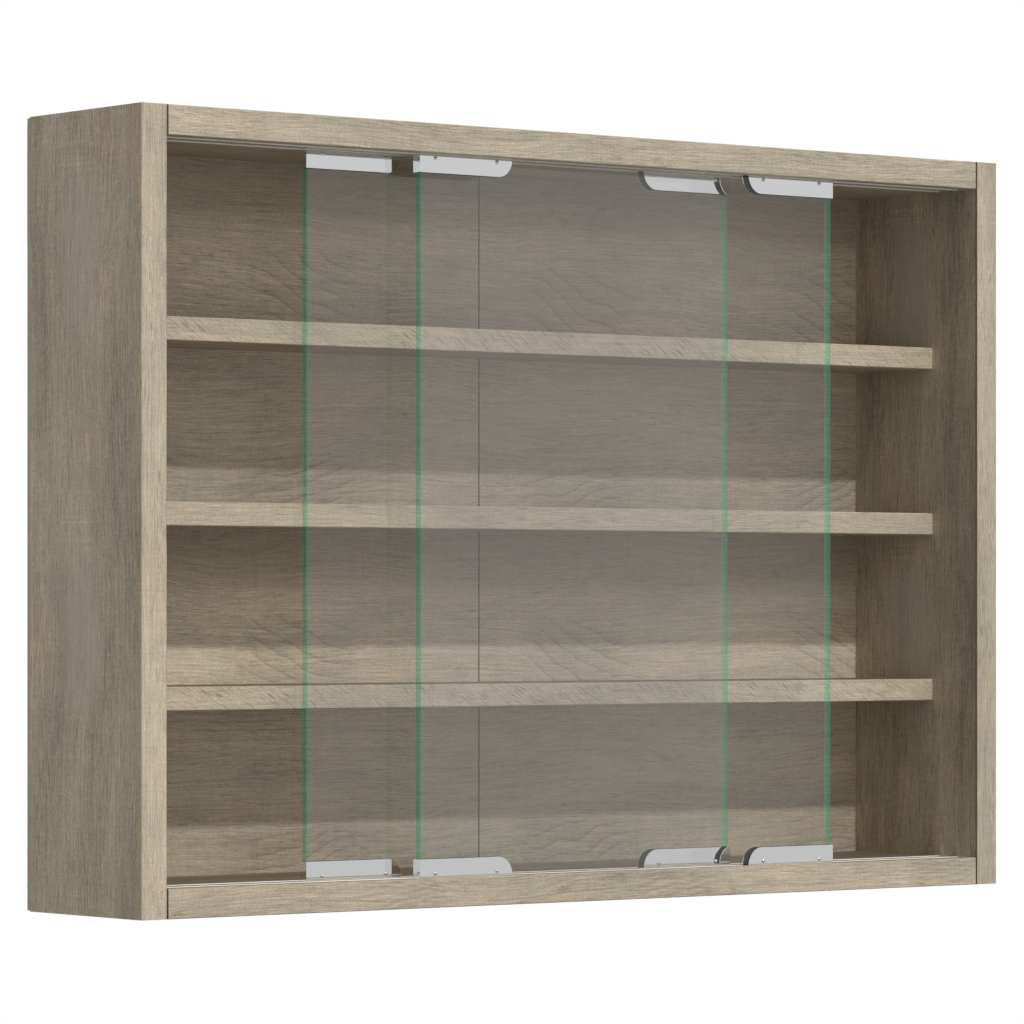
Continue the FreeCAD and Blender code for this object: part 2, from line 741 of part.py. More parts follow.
def main():
    dowels = corner_dowels()
    shelf_pegs = shelf_dowels()
    cams = cam_fittings()
    nails = back_nails()
    hangers = hanger_fittings()
    fittings = {
        "corner_dowels": dowels,
        "shelf_dowels": shelf_pegs,
        "cam_bolts": cams.bolts,
        "cam_locks": cams.locks,
        "back_panel_nails": nails,
        "hanger_screws": hangers.screws,
    }
    for name, pieces in fittings.items():
        node(pieces, name)
    carcass(dowels, shelf_pegs, cams, nails, hangers)
    edge_bands()
    guide_rails()
    sliding_door("rear", size.rear_pane_offset)
    sliding_door("front", size.front_pane_offset)

    doc.recompute()
    check_document()
    os.makedirs("parts", exist_ok=True)
    for name, piece in nodes.items():
        piece.Shape.exportStep(f"parts/{name}.step")
    print(f"{len(nodes)} pieces written")


main()
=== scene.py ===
import json
import math
from collections import namedtuple

import bmesh
import bpy
from mathutils import Matrix, Vector


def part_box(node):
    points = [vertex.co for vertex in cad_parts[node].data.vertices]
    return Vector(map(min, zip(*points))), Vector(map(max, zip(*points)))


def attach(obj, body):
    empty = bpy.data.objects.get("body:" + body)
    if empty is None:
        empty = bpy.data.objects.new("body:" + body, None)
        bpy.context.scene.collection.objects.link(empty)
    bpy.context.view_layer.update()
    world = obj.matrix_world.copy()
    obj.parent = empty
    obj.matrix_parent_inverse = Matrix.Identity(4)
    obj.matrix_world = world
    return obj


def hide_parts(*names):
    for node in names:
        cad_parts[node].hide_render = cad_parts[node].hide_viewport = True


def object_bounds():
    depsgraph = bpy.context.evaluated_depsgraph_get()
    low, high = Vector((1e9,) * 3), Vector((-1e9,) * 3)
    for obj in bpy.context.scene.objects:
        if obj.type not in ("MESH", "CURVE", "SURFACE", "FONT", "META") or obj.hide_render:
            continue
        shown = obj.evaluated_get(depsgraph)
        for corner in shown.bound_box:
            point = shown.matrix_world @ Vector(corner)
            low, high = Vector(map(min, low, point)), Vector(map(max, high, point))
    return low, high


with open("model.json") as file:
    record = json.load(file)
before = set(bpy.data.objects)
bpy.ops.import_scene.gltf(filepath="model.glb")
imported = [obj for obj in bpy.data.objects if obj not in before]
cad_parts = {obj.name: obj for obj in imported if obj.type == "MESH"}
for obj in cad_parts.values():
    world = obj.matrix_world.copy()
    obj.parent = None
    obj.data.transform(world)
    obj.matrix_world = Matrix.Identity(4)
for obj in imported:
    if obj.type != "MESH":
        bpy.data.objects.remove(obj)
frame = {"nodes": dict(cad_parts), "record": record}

# Looks of a wall display cabinet: oak decor boards, sliding glass panes and bright corner shoes.
# Lengths are in metres. X runs to the right, Y into the wall and Z up.

MM = 0.001
QUARTER_TURN = math.radians(90)
nodes = frame["nodes"]
cad_low, cad_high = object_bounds()

# Camera: level, left of the cabinet, with its frame shifted up so that upright edges stay upright
EYE = Vector((-1.7509, -2.2535, -0.2152))
VIEW_TURN = math.radians(-38.2589)
LENS = 186.66
SENSOR = 36.0
FRAME_SHIFT = 0.0977

# Light: a key lamp from the front, high enough for each shelf to shade the back below it, a weak and wide
# fill from straight ahead, and an even light all round
KEY_HEIGHT_ANGLE = math.radians(44.0)
KEY_STRENGTH = 1.55
KEY_SOFTNESS = math.radians(2.0)
KEY_COLOUR = (0.97, 0.99, 1.0)
FILL_STRENGTH = 0.62
FILL_SOFTNESS = math.radians(100.0)
AMBIENT_STRENGTH = 0.385
AMBIENT_COLOUR = (1.0, 0.97, 0.92, 1)
WHITE = (1, 1, 1, 1)
SOFT_LIT_BOARDS = ("bottom_board", "lower_shelf", "middle_shelf", "upper_shelf")

# Studio: a grey wall before the cabinet, which grows paler upwards, and a floor
WALL_LOW = (0.58, 0.588, 0.582, 1)
WALL_HIGH = (0.637, 0.642, 0.643, 1)
WALL_FADE_HEIGHTS = (-0.55, 0.35)
WALL_PLACE = Vector((0, -3.0, 0))
WALL_HALF_WIDTH = 4.5
WALL_HALF_HEIGHT = 2.0
FLOOR_DROP = 1.1
FLOOR_HALF_WIDTH = 3.0
FLOOR_PALE = (0.85, 0.85, 0.85, 1)
FLOOR_DIM = (0.25, 0.25, 0.25, 1)

# Pips of the shoes, from a shoe's end and from its base
PIP_RADIUS = 1.1 * MM
PIP_HEIGHT = 0.9 * MM
PIP_INSET = 10 * MM
PIP_LIFT = 3.8 * MM

# Nails and screws of the back: radii and depths below the head's top
NAIL_OUTLINE = ((0, 0), (1.3 * MM, 0.1 * MM), (2.0 * MM, 0.4 * MM), (2.2 * MM, 0.8 * MM),
                (0.7 * MM, 0.8 * MM), (0.7 * MM, 18 * MM), (0, 20 * MM))
SCREW_OUTLINE = ((0, 0.9 * MM), (1.1 * MM, 0), (2.9 * MM, 0), (1.7 * MM, 1.25 * MM),
                 (1.7 * MM, 13 * MM), (0, 16 * MM))
SHARP_ANGLE = math.radians(40)
MERGE_DISTANCE = 0.001 * MM

# Colours of the boards
OAK_BEIGE = (0.515, 0.435, 0.325, 1)
OAK_GREY = (0.452, 0.394, 0.303, 1)
OAK_TAN = (0.545, 0.432, 0.318, 1)
OAK_LILAC = (0.51, 0.465, 0.41, 1)
OAK_LINE = (0.21, 0.155, 0.095, 1)
# The bare core's colour is partly its own brown and partly painted shade for the narrow grooves where it
# shows
CORE_WITH_PAINTED_SHADE = (0.12, 0.085, 0.055, 1)
CORE_FADE = 2 * MM
BACK_EDGE = (0.49, 0.43, 0.345, 1)
BACK_EDGE_FLECK = (0.45, 0.39, 0.31, 1)
# Painted shade: the near-black colour of the cut edges in the middle seam's gap
SEAM_EDGE_PAINTED_SHADE = (0.05, 0.04, 0.032, 1)
HARDBOARD = (0.23, 0.155, 0.09, 1)
HARDBOARD_FLECK = (0.13, 0.085, 0.05, 1)

# Marks of the oak print: their length along the grain and width across it, how ragged they are, and how
# far they change the colour, the level or, for the wander of the fibres, the place
Mark = namedtuple("Mark", "length width detail depth", defaults=(1.0,))
WANDER = Mark(150 * MM, 60 * MM, 1.0, 20 * MM)
TONES = Mark(260 * MM, 30 * MM, 2.0)
WARM_PATCHES = Mark(36 * MM, 7 * MM, 2.0, 0.5)
PORES = Mark(9 * MM, 0.45 * MM, 0.0, 0.14)
PORE_PATCHES = Mark(60 * MM, 16 * MM, 1.0, 0.32)
CLOUDS = Mark(110 * MM, 24 * MM, 2.0, 0.42)
MOTTLE = Mark(22 * MM, 6 * MM, 2.0, 0.22)
FIBRES = Mark(90 * MM, 0.7 * MM, 1.0, 0.46)
FLECKS = Mark(14 * MM, 0.42 * MM, 1.0, 0.74)
GRIT = Mark(1.2 * MM, 0.6 * MM, 0.0, 0.40)
SAW_MARKS = Mark(1.6 * MM, 14 * MM, 1.0, 0.14)
OAK_RELIEF = 0.05 * MM

# The print of the back repeats up its height, and its arched growth lines repeat along its width
TONE_PITCH = 194 * MM
ARCH_PITCH = 187 * MM
BROWN_STRIPE_HEIGHT = -187 * MM
PALE_STRIPE_HEIGHT = -43 * MM
BACK_LEVEL = 1.03
PALE_STRIPE_DEPTH = 0.165
# How far from the middle the seam's painted shade reaches
SEAM_SHADE_REACH = (3 * MM, 6 * MM)

# Arches of growth lines: the place of their crown along X and up Z, their rise and the gap between lines,
# how near to that height they start, which flank shows as a share of the pitch, and how dark they are
Arch = namedtuple("Arch", "crown height rise gap start flank depth")
ARCHES = (Arch(-165 * MM, -46 * MM, 15 * MM, 10 * MM, 0.60, 0.25, 0.29),
          Arch(-72 * MM, -150 * MM, 8 * MM, 7 * MM, 0.80, -0.25, 0.24))
ARCH_SWELL = 26 * MM
FLANK_PORE_TURN = math.radians(130)

# Growth lines that rise along an edge
RISING_SLOPE = 0.16
RISING_GAP = 3.4 * MM
RISING_SWELL = 12 * MM

# Upright panels: a lilac cloud, a darker front and a patch of saw ripples, by their places along Y and Z
CLOUD_HEIGHT = -38 * MM
CLOUD_MIDDLE = -50 * MM
CLOUD_PITCH = 104 * MM
CLOUD_SHARE = 0.45
DARK_FRONT = (-95 * MM, -62 * MM)
DARK_FRONT_DEPTH = 0.13
RIPPLE_SCALE = (20, 20, 900)
RIPPLE_HEIGHT = 12 * MM
RIPPLE_MIDDLE = -48 * MM
RIPPLE_PITCH = 100 * MM
RIPPLE_DEPTH = 0.16

# Glass: its outer face mirrors for both faces, so its index is higher than that of real glass. The green
# of its ground edges shows a little way into the pane, less far on the left
GLASS_INDEX = 1.85
GLASS_CLEAR = (0.99, 0.99, 0.99, 1)
GLASS_GREEN = (0.62, 1.0, 0.81, 1)
GLASS_GROUND = (0.02, 0.85, 0.55, 1)
GLASS_GROUND_SHARE = 0.16
GLASS_MIRROR = (0.957, 0.918, 0.911, 1)
FRINGE_REACH = (0.8 * MM, 1.6 * MM)
FRINGE_LESS_LEFT = 0.6 * MM
FRINGE_SHARE = 0.8

# Fine grain of the plain finishes, and rolling marks of bright metal in lines to the metre
GRAIN_RELIEF = 0.02 * MM
ROLLING_SCALE = (30, 900, 900)


class Socket:
    """An output of a node. Sums and products of outputs add the Math nodes for them."""

    def __init__(self, shading, output):
        self.shading = shading
        self.output = output

    def maths(self, operation, *others):
        return self.shading.node("Math", {"operation": operation}, dict(enumerate((self, *others))))

    def __add__(self, other):
        return self.maths("ADD", other)

    def __sub__(self, other):
        return self.maths("SUBTRACT", other)

    def __rsub__(self, other):
        return self.shading.node("Math", {"operation": "SUBTRACT"}, {0: other, 1: self})

    def __mul__(self, other):
        return self.maths("MULTIPLY", other)

    __radd__ = __add__
    __rmul__ = __mul__

    def unsigned(self):
        """The same value without its sign."""
        return self.maths("ABSOLUTE")

    def between(self, low, high):
        """Zero below low, one above high and a smooth rise between them."""
        return self.shading.node("MapRange", {"interpolation_type": "SMOOTHSTEP"},
                                 {"Value": self, "From Min": low, "From Max": high})

    def wave(self, crest, pitch):
        """A cosine with a crest at one value, which repeats at a pitch."""
        return ((self - crest) * (2 * math.pi / pitch)).maths("COSINE")


class Shading:
    """The nodes of a material or of the world."""

    def __init__(self, tree):
        self.tree = tree
        tree.nodes.clear()

    def node(self, kind, settings=None, inputs=None, output=0):
        """Add a node: first its settings, then the values or links of its sockets. Returns an output."""
        made = self.tree.nodes.new("ShaderNode" + kind)
        for name, value in (settings or {}).items():
            setattr(made, name, value)
        for name, value in (inputs or {}).items():
            if isinstance(value, Socket):
                self.tree.links.new(value.output, made.inputs[name])
            else:
                made.inputs[name].default_value = value
        return Socket(self, made.outputs[output]) if made.outputs else None

    def mix_shader(self, factor, first, second):
        return self.node("MixShader", {}, {0: factor, 1: first, 2: second})

    def looked_at(self):
        """One for what the camera, a mirror or glass sees, and zero for light that is scattered."""
        camera, mirror, glass = [self.node("LightPath", output=f"Is {ray} Ray")
                                 for ray in ("Camera", "Glossy", "Transmission")]
        return camera.maths("MAXIMUM", mirror).maths("MAXIMUM", glass)


class Finish(Shading):
    """A material and the nodes that it is made of."""

    def __init__(self, name):
        self.material = bpy.data.materials.new(name)
        self.material.use_nodes = True
        super().__init__(self.material.node_tree)

    def place(self):
        """Where a point lies on its piece, in metres."""
        return self.node("TexCoord", output="Object")

    def axes(self):
        """The same place as three numbers."""
        place = self.place()
        return [self.node("SeparateXYZ", {}, {0: place}, axis) for axis in "XYZ"]

    def normal(self, axis):
        """How squarely a face looks along an axis, from -1 to 1."""
        return self.node("SeparateXYZ", {}, {0: self.node("NewGeometry", output="Normal")}, axis)

    def facing(self, axis):
        """One where a face looks along an axis, either way, and zero where it looks across it."""
        return self.normal(axis).unsigned().between(0.4, 0.6)

    def scaled(self, vector, scale, turn=0.0):
        """A vector turned about its third axis and scaled, to set a pattern's size."""
        return self.node("Mapping", {}, {"Vector": vector, "Scale": scale, "Rotation": (0, 0, turn)})

    def noise(self, vector, detail=2.0, roughness=0.5):
        return self.node("TexNoise", {}, {"Vector": vector, "Scale": 1.0, "Detail": detail,
                                          "Roughness": roughness}, "Fac")

    def even_noise(self, scale, detail, roughness=0.5):
        """Noise on the piece that is alike along all axes. Its scale is in spots to the metre."""
        return self.noise(self.scaled(self.place(), (scale, scale, scale)), detail, roughness)

    def spots(self, vector, mark):
        """Noise about zero, in spots of a mark's length and width."""
        scale = (1 / mark.length, 1 / mark.width, 1 / mark.width)
        return self.noise(self.scaled(vector, scale), mark.detail) - 0.5

    def mix(self, factor, first, second):
        """A colour between two colours."""
        return self.node("Mix", {"data_type": "RGBA"}, {0: factor, 6: first, 7: second}, 2)

    def lighten(self, colour, level):
        """A colour made lighter, or darker with a level below one."""
        return self.node("VectorMath", {"operation": "SCALE"}, {0: colour, "Scale": level})

    def bump(self, height, depth):
        return self.node("Bump", {}, {"Height": height, "Strength": 1.0, "Distance": depth})

    def principled(self, **inputs):
        """The usual surface shader, with its sockets by name: underscores stand for spaces."""
        sockets = {name.replace("_", " "): value for name, value in inputs.items()}
        return self.node("BsdfPrincipled", {}, sockets)

    def surface(self, shader):
        self.node("OutputMaterial", {}, {"Surface": shader})
        return self.material


def short_pores(finish, board, slant):
    """Where short pores lie, turned away from the grain by a slant."""
    turned = finish.scaled(board, (1, 1, 1), slant)
    return finish.spots(turned, PORES).between(0.08, 0.21)


def oak_pattern(finish, grain, slant=0.0, fine=1.0, broad=1.0, pore_share=PORES.depth):
    """Oak decor with its grain along an axis: its colour and how light it is. Slant turns the pores."""
    x, y, z = finish.axes()
    along, across, depth = {"X": (x, z, y), "Z": (z, y, x)}[grain]
    straight = finish.node("CombineXYZ", {}, {"X": along, "Y": across, "Z": depth})

    # Fibres wander a little to either side on their way along the board
    wander = finish.spots(straight, WANDER) * WANDER.depth
    board = finish.node("CombineXYZ", {}, {"X": along, "Y": across + wander, "Z": depth})

    # Grey and beige streaks with patches of tan
    tone = finish.spots(board, TONES).between(-0.14, 0.14)
    warm = finish.spots(board, WARM_PATCHES).between(-0.02, 0.16)
    colour = finish.mix(tone, OAK_GREY, OAK_BEIGE)
    colour = finish.mix(warm * WARM_PATCHES.depth, colour, OAK_TAN)

    # Short brown pores, more of them in patches
    pores_here = finish.spots(board, PORE_PATCHES).between(-0.06, 0.12)
    pores = short_pores(finish, board, slant) * (pore_share + pores_here * PORE_PATCHES.depth)
    colour = finish.mix(pores, colour, OAK_LINE)

    # Light and dark, from broad clouds down to single fibres and the saw's marks across them
    def shade(vector, mark):
        return finish.spots(vector, mark) * mark.depth

    fine_marks = (shade(board, FIBRES) + shade(board, FLECKS)
                  + shade(straight, GRIT) + shade(straight, SAW_MARKS))
    level = 1.0 + shade(board, CLOUDS) * broad + shade(board, MOTTLE) + fine_marks * fine
    return finish.lighten(colour, level), level


def oak_surface(finish, colour, relief):
    return finish.surface(finish.principled(
        Base_Color=colour, Roughness=0.66 - relief * 0.08, Specular_IOR_Level=0.35,
        Normal=finish.bump(relief, OAK_RELIEF)))


def rising_lines(finish, middle):
    """Growth lines that rise along an edge, in patches about a place on it: how much they darken it."""
    x, _, z = finish.axes()
    swell = finish.even_noise(scale=30, detail=1.0) - 0.5
    ring = ((z - x * RISING_SLOPE + swell * RISING_SWELL) * (1 / RISING_GAP)).maths("FRACT")
    lines = ring.between(0.30, 0.85) * (1 - ring.between(0.88, 1.0))
    here = x.wave(middle, ARCH_PITCH).between(0.40, 0.85)
    return here * (0.02 + lines * 0.13)


def oak_edge(name, grain, level, slant=0.0, fine=1.0, pore_share=PORES.depth, rising_at=None):
    """The decor strip on a board's edge. Rising growth lines show about a place along it, if one is set."""
    finish = Finish(name)
    colour, relief = oak_pattern(finish, grain, slant, fine, pore_share=pore_share)
    if rising_at is not None:
        level = level - rising_lines(finish, rising_at)
    colour = finish.lighten(colour, level)
    if grain == "Z":
        # An upright strip's inner flank is bare core, which shows in the grooves at the corners. Its dark
        # colour is partly the core's own brown and partly painted shade for those grooves
        panel_low, panel_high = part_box("right_side_panel")
        panel_middle = (panel_low.x + panel_high.x) / 2
        inner = 1 - finish.axes()[0].unsigned().between(panel_middle, panel_middle + CORE_FADE)
        colour = finish.mix(finish.facing("X") * inner, colour, CORE_WITH_PAINTED_SHADE)
    return oak_surface(finish, colour, relief)


def cut_board(finish, colour, relief):
    """Decor on a board's faces, and bare core where its front and rear are cut to size. The core is painted
    dark: partly its own brown, partly painted shade for the grooves where it shows.
    """
    return oak_surface(finish, finish.mix(finish.facing("Y"), colour, CORE_WITH_PAINTED_SHADE), relief)


def oak_level_board(name):
    finish = Finish(name)
    colour, relief = oak_pattern(finish, "X", fine=0.8)
    return cut_board(finish, colour, relief)


def oak_panel(name, level):
    """An upright panel: a lilac cloud along its middle, a darker front and a patch of saw ripples."""
    finish = Finish(name)
    colour, relief = oak_pattern(finish, "Z", fine=1.35, broad=1.9, pore_share=0.2)
    _, y, z = finish.axes()
    cloud = (z.wave(CLOUD_HEIGHT, ARCH_PITCH).between(-0.2, 0.9)
             * y.wave(CLOUD_MIDDLE, CLOUD_PITCH).between(0.2, 0.9))
    colour = finish.mix(cloud * CLOUD_SHARE, colour, OAK_LILAC)
    front = 1 - y.between(*DARK_FRONT)
    ripples = finish.noise(finish.scaled(finish.place(), RIPPLE_SCALE), 1.0).between(0.50, 0.66)
    ripples_here = (z.wave(RIPPLE_HEIGHT, ARCH_PITCH).between(0.90, 1.0)
                    * y.wave(RIPPLE_MIDDLE, RIPPLE_PITCH).between(0.45, 0.75))
    level = level - front * DARK_FRONT_DEPTH + ripples * ripples_here * RIPPLE_DEPTH
    return cut_board(finish, finish.lighten(colour, level), relief)


def growth_lines(finish, along, across, arch):
    """Soft shades with a thin dark edge. They run level at a crown and fall away to either side of it."""
    swell = finish.even_noise(scale=20, detail=2.0) - 0.5
    hill = along.wave(arch.crown, ARCH_PITCH) * arch.rise + swell * ARCH_SWELL
    ring = ((hill - across) * (1 / arch.gap)).maths("FRACT")
    soft = ring.between(0.0, 0.9) * 0.35 + ring.between(0.78, 0.9) * 0.65
    return soft * (1 - ring.between(0.93, 1.0))


def oak_back():
    """The back: oak decor on its front face, pale cut edges with painted shade on those at the middle seam,
    and bare hardboard behind.
    """
    finish = Finish("oak_back_decor")
    colour, relief = oak_pattern(finish, "X")
    x, y, z = finish.axes()
    brown = z.wave(BROWN_STRIPE_HEIGHT, TONE_PITCH).between(0.78, 0.97)
    colour = finish.mix(brown * 0.35, colour, OAK_LINE)
    level = BACK_LEVEL + z.wave(PALE_STRIPE_HEIGHT, TONE_PITCH) * PALE_STRIPE_DEPTH
    board = finish.node("CombineXYZ", {}, {"X": x, "Y": z, "Z": y})
    for arch in ARCHES:
        here = (z.wave(arch.height, TONE_PITCH).between(arch.start, 0.95)
                * x.wave(arch.crown + arch.flank * ARCH_PITCH, ARCH_PITCH).between(0.1, 0.7))
        level = level - here * growth_lines(finish, x, z, arch) * arch.depth
        pores = short_pores(finish, board, arch.flank * FLANK_PORE_TURN)
        colour = finish.mix(pores * here * PORES.depth, colour, OAK_LINE)
    decor = finish.lighten(colour, level)

    fibre = finish.even_noise(scale=420, detail=4.0, roughness=0.7).between(0.4, 0.7)
    bare = finish.mix(fibre, HARDBOARD, HARDBOARD_FLECK)
    edge = finish.mix(fibre, BACK_EDGE, BACK_EDGE_FLECK)
    # Painted shade: the cut edges at the middle seam are made near black, for the shade in the gap between
    # the two halves
    seam_painted_shade = (1 - x.unsigned().between(*SEAM_SHADE_REACH)) * finish.facing("X")
    edge = finish.mix(seam_painted_shade, edge, SEAM_EDGE_PAINTED_SHADE)
    rearward = finish.normal("Y")
    rest = finish.mix(rearward.between(0.4, 0.6), edge, bare)
    return oak_surface(finish, finish.mix(rearward.between(-0.6, -0.4), decor, rest), relief)


def speckled(name, colour, fleck, grain_size, roughness, metallic=0.0, gloss=0.5):
    """A plain finish with a fine, even variation: plastic, paper, wood dowels or plated metal."""
    finish = Finish(name)
    grain = finish.even_noise(scale=1 / grain_size, detail=3.0, roughness=0.6)
    return finish.surface(finish.principled(
        Base_Color=finish.mix(grain.between(0.3, 0.7), colour, fleck), Metallic=metallic,
        Roughness=roughness + grain * 0.12, Specular_IOR_Level=gloss,
        Normal=finish.bump(grain, GRAIN_RELIEF)))


def mirror_metal(name, colour, roughness):
    """Bright plated metal with faint rolling marks."""
    finish = Finish(name)
    marks = finish.noise(finish.scaled(finish.place(), ROLLING_SCALE))
    return finish.surface(finish.principled(
        Base_Color=colour, Metallic=1.0, Roughness=roughness + marks * 0.04))


def clear_glass(pane):
    """A clear pane. Its faces mirror a little, and its ground edges tint what is behind them green."""
    finish = Finish(f"{pane}_clear")
    low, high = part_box(pane)
    x = finish.axes()[0]
    inset = (x - (low.x - FRINGE_LESS_LEFT)).maths("MINIMUM", high.x - x)
    fringe = (1 - inset.between(*FRINGE_REACH)) * FRINGE_SHARE
    edge = finish.normal("X").unsigned().between(0.3, 0.5).maths("MAXIMUM", fringe)
    clear = finish.node("BsdfTransparent", {}, {"Color": GLASS_CLEAR})
    green = finish.node("BsdfTransparent", {}, {"Color": GLASS_GREEN})
    ground = finish.node("BsdfDiffuse", {}, {"Color": GLASS_GROUND})
    body = finish.mix_shader(edge, clear, finish.mix_shader(GLASS_GROUND_SHARE, green, ground))
    mirror = finish.node("BsdfGlossy", {}, {"Color": GLASS_MIRROR, "Roughness": 0.0})
    outside = 1 - finish.node("NewGeometry", output="Backfacing")
    shine = finish.node("Fresnel", {}, {"IOR": GLASS_INDEX}) * outside * (1 - edge * 0.8)
    return finish.surface(finish.mix_shader(shine, body, mirror))


def paint_nodes():
    """Give every CAD piece its finish, by its name or else by its material slot. Returns those by slot."""
    own = {
        # The right panel's lower level than the left's is painted shade, fitted to its inner face, which
        # lies in the cabinet's shade
        "left_side_panel": oak_panel("oak_left_panel", 1.15),
        "right_side_panel": oak_panel("oak_right_panel_painted_shade", 0.95),
        "left_side_edge_band": oak_edge("oak_left_edge", "Z", 1.17),
        "right_side_edge_band": oak_edge("oak_right_edge", "Z", 1.04),
        "top_edge_band": oak_edge("oak_top_edge", "X", 1.08, fine=1.3),
        "bottom_edge_band": oak_edge("oak_bottom_edge", "X", 1.05, fine=1.2, rising_at=-128 * MM),
        "middle_shelf_edge_band": oak_edge("oak_middle_edge", "X", 1.05, fine=1.2),
        "rear_glass": clear_glass("rear_glass"),
        "front_glass": clear_glass("front_glass"),
    }
    finishes = {
        "oak_board": oak_level_board("oak_level_board"),
        "oak_edge": oak_edge("oak_shelf_edge", "X", 1.08, slant=math.radians(33), pore_share=0.42),
        "oak_back": oak_back(),
        "joint_tape": speckled("paper_tape", (0.16, 0.12, 0.08, 1), (0.12, 0.09, 0.06, 1), 0.6 * MM, 0.6),
        "rail": speckled("ivory_rail", (0.98, 0.945, 0.9, 1), (0.95, 0.915, 0.87, 1), 2 * MM, 0.5,
                         gloss=0.0),
        "dowel": speckled("beech_dowel", (0.62, 0.46, 0.28, 1), (0.52, 0.37, 0.21, 1), 1.2 * MM, 0.6),
        "fitting": speckled("zinc_casting", (0.55, 0.55, 0.54, 1), (0.44, 0.44, 0.43, 1), 1.5 * MM, 0.36,
                            metallic=1.0),
        "hanger": speckled("plated_steel", (0.62, 0.61, 0.57, 1), (0.52, 0.51, 0.48, 1), 3 * MM, 0.28,
                           metallic=1.0),
        "shoe": mirror_metal("bright_sheet", (0.9, 0.905, 0.91, 1), 0.015),
        "liner": speckled("black_liner", (0.014, 0.014, 0.015, 1), (0.02, 0.02, 0.021, 1), 0.8 * MM, 0.5),
        "glide": speckled("nylon_glide", (0.72, 0.71, 0.67, 1), (0.68, 0.67, 0.63, 1), 1 * MM, 0.4),
        "pip": mirror_metal("dull_pip", (0.55, 0.55, 0.56, 1), 0.25),
    }
    slot_of = {entry["node"]: entry["material_slot"] for entry in frame["record"]["subparts"]}
    for name, piece in nodes.items():
        piece.data.materials.clear()
        piece.data.materials.append(own.get(name) or finishes[slot_of[name]])
    return finishes


def add_piece(shape, name, finish, body, replaced):
    """Turn a bmesh into a piece that rides on a body and stands for a CAD node."""
    bmesh.ops.recalc_face_normals(shape, faces=shape.faces)
    for edge in shape.edges:
        edge.smooth = edge.calc_face_angle(0.0) < SHARP_ANGLE
    mesh = bpy.data.meshes.new(name)
    shape.to_mesh(mesh)
    shape.free()
    mesh.polygons.foreach_set("use_smooth", [True] * len(mesh.polygons))
    mesh.materials.append(finish)
    piece = bpy.data.objects.new(name, mesh)
    bpy.context.scene.collection.objects.link(piece)
    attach(piece, body)
    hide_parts(replaced)


def shoe_domes(track, finish):
    """Smooth domed pips for the four shoes of a pane, two on each face."""
    shape = bmesh.new()
    for level in ("bottom", "top"):
        for side in ("left", "right"):
            low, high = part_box(f"{track}_{level}_{side}_shoe")
            height = low.z + PIP_LIFT if level == "bottom" else high.z - PIP_LIFT
            for x in (low.x + PIP_INSET, high.x - PIP_INSET):
                for y, turn in ((low.y, QUARTER_TURN), (high.y, -QUARTER_TURN)):
                    seat = Matrix.Translation((x, y, height)) @ Matrix.Rotation(turn, 4, "X")
                    add_dome(shape, seat)
    add_piece(shape, f"{track}_door_pips", finish, f"{track}_door", f"{track}_shoe_pips")


def add_dome(shape, seat):
    """A half ball, flattened to the pips' height, that stands on its seat."""
    flatten = Matrix.Diagonal((1, 1, PIP_HEIGHT / PIP_RADIUS, 1))
    ball = bmesh.ops.create_uvsphere(shape, u_segments=16, v_segments=10, radius=PIP_RADIUS,
                                     matrix=seat @ flatten)
    edges = dict.fromkeys(edge for vert in ball["verts"] for edge in vert.link_edges)
    faces = dict.fromkeys(face for vert in ball["verts"] for face in vert.link_faces)
    up = (seat.to_3x3() @ Vector((0, 0, 1))).normalized()
    cut = bmesh.ops.bisect_plane(shape, geom=[*ball["verts"], *edges, *faces], plane_co=seat.translation,
                                 plane_no=up, clear_inner=True)
    rim = [edge for edge in cut["geom_cut"] if isinstance(edge, bmesh.types.BMEdge)]
    bmesh.ops.holes_fill(shape, edges=rim)


def head_places(name):
    """The middle of each head in a CAD piece that holds several nails or screws, from left to right."""
    shape = bmesh.new()
    shape.from_mesh(nodes[name].data)
    bmesh.ops.remove_doubles(shape, verts=shape.verts, dist=MERGE_DISTANCE)
    places = []
    waiting = set(shape.verts)
    while waiting:
        solid = [waiting.pop()]
        for vert in solid:
            near = {edge.other_vert(vert) for edge in vert.link_edges} & waiting
            waiting -= near
            solid.extend(near)
        x, y, z = ([vert.co[axis] for vert in solid] for axis in range(3))
        places.append(Vector(((min(x) + max(x)) / 2, max(y), (min(z) + max(z)) / 2)))
    shape.free()
    return sorted(places, key=tuple)


def round_fasteners(name, outline, finish):
    """Round nails or screws, spun from an outline of radii and depths below the head's top."""
    shape = bmesh.new()
    for place in head_places(name):
        points = [shape.verts.new(place + Vector((radius, -depth, 0))) for radius, depth in outline]
        lines = [shape.edges.new(pair) for pair in zip(points, points[1:])]
        bmesh.ops.spin(shape, geom=points + lines, cent=place, axis=(0, 1, 0), angle=2 * math.pi,
                       steps=16, use_merge=True)
    bmesh.ops.remove_doubles(shape, verts=shape.verts, dist=MERGE_DISTANCE)
    add_piece(shape, f"round_{name}", finish, "cabinet", name)


def add_world():
    """Even light all round. The camera, mirrors and glass see plain white."""
    world = bpy.data.worlds.new("studio")
    bpy.context.scene.world = world
    world.use_nodes = True
    sky = Shading(world.node_tree)
    ambient = sky.node("Background", {}, {"Color": AMBIENT_COLOUR, "Strength": AMBIENT_STRENGTH})
    white = sky.node("Background", {}, {"Color": WHITE, "Strength": 1.0})
    sky.node("OutputWorld", {}, {"Surface": sky.mix_shader(sky.looked_at(), ambient, white)})


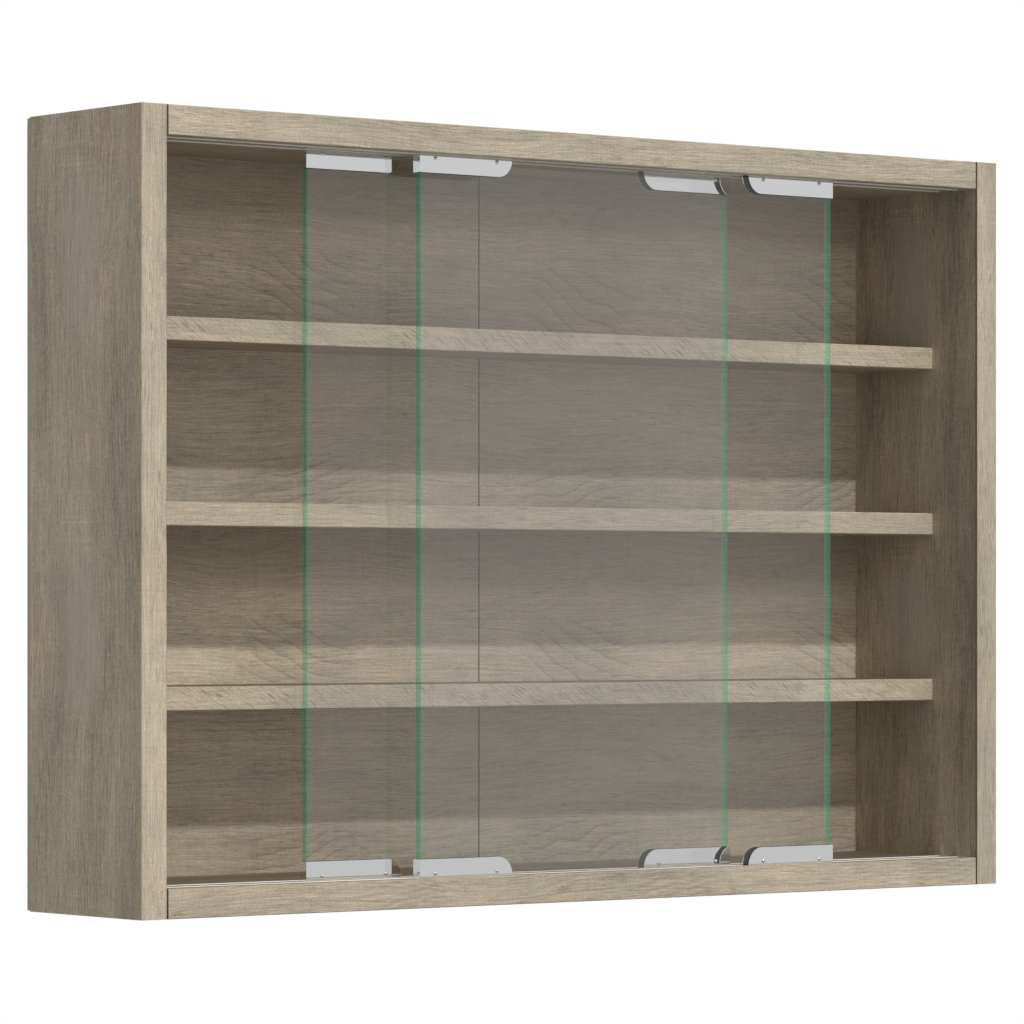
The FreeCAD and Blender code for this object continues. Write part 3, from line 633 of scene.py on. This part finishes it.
def add_sun(name, strength, softness, height_angle):
    """A sun lamp that shines along Y, from a height above the horizon."""
    lamp = bpy.data.lights.new(name, "SUN")
    lamp.energy = strength
    lamp.angle = softness
    sun = bpy.data.objects.new(name, lamp)
    sun.rotation_euler = (QUARTER_TURN - height_angle, 0, 0)
    bpy.context.scene.collection.objects.link(sun)
    return sun


def add_lamps():
    """The key, which leaves out the boards that lie in soft light, and the fill, which mirrors miss."""
    key = add_sun("key", KEY_STRENGTH, KEY_SOFTNESS, KEY_HEIGHT_ANGLE)
    key.data.color = KEY_COLOUR
    shaded = bpy.data.collections.new("boards_in_soft_light")
    for name in SOFT_LIT_BOARDS:
        shaded.objects.link(nodes[name])
    key.light_linking.receiver_collection = shaded
    for item in shaded.collection_objects:
        item.light_linking.link_state = "EXCLUDE"
    fill = add_sun("fill", FILL_STRENGTH, FILL_SOFTNESS, 0.0)
    fill.visible_glossy = False


def add_backdrop(name, place, finish):
    """A flat piece of the studio: a square of two metres, put in its place and scaled by a matrix."""
    shape = bmesh.new()
    bmesh.ops.create_grid(shape, x_segments=1, y_segments=1, size=1, matrix=place)
    mesh = bpy.data.meshes.new(name)
    shape.to_mesh(mesh)
    shape.free()
    mesh.materials.append(finish)
    backdrop = bpy.data.objects.new(name, mesh)
    bpy.context.scene.collection.objects.link(backdrop)
    return backdrop


def add_floor():
    """A pale floor, as far below the cabinet as it hangs on a wall. From below it is clear."""
    finish = Finish("pale_floor")
    colour = finish.mix(finish.looked_at(), FLOOR_DIM, FLOOR_PALE)
    above = finish.principled(Base_Color=colour, Roughness=0.8)
    below = finish.node("BsdfTransparent")
    from_below = finish.node("NewGeometry", output="Backfacing")
    height = Matrix.Translation((0, 0, cad_low.z - FLOOR_DROP))
    spread = Matrix.Diagonal((FLOOR_HALF_WIDTH, FLOOR_HALF_WIDTH, 1, 1))
    add_backdrop("floor", height @ spread, finish.surface(finish.mix_shader(from_below, above, below)))


def add_grey_wall():
    """The studio's grey wall in front of the cabinet. Only mirrors see it, and bright metal needs it."""
    finish = Finish("grey_wall")
    colour = finish.mix(finish.axes()[2].between(*WALL_FADE_HEIGHTS), WALL_LOW, WALL_HIGH)
    glow = finish.node("Emission", {}, {"Color": colour, "Strength": 1.0})
    upright = Matrix.Rotation(QUARTER_TURN, 4, "X")
    spread = Matrix.Diagonal((WALL_HALF_WIDTH, WALL_HALF_HEIGHT, 1, 1))
    place = Matrix.Translation(WALL_PLACE) @ upright @ spread
    wall = add_backdrop("grey_wall", place, finish.surface(glow))
    for ray in ("camera", "diffuse", "transmission", "shadow", "volume_scatter"):
        setattr(wall, "visible_" + ray, False)


def add_camera():
    lens = bpy.data.cameras.new("camera")
    lens.sensor_width = SENSOR
    lens.lens = LENS
    lens.shift_y = FRAME_SHIFT
    camera = bpy.data.objects.new("camera", lens)
    camera.location = EYE
    camera.rotation_euler = (QUARTER_TURN, 0, VIEW_TURN)
    bpy.context.scene.collection.objects.link(camera)
    bpy.context.scene.camera = camera


def main():
    finishes = paint_nodes()
    for track in ("rear", "front"):
        shoe_domes(track, finishes["pip"])
    round_fasteners("back_panel_nails", NAIL_OUTLINE, finishes["fitting"])
    round_fasteners("hanger_screws", SCREW_OUTLINE, finishes["fitting"])
    add_world()
    add_lamps()
    add_floor()
    add_grey_wall()
    add_camera()
    bpy.context.scene.view_settings.view_transform = "Standard"


main()
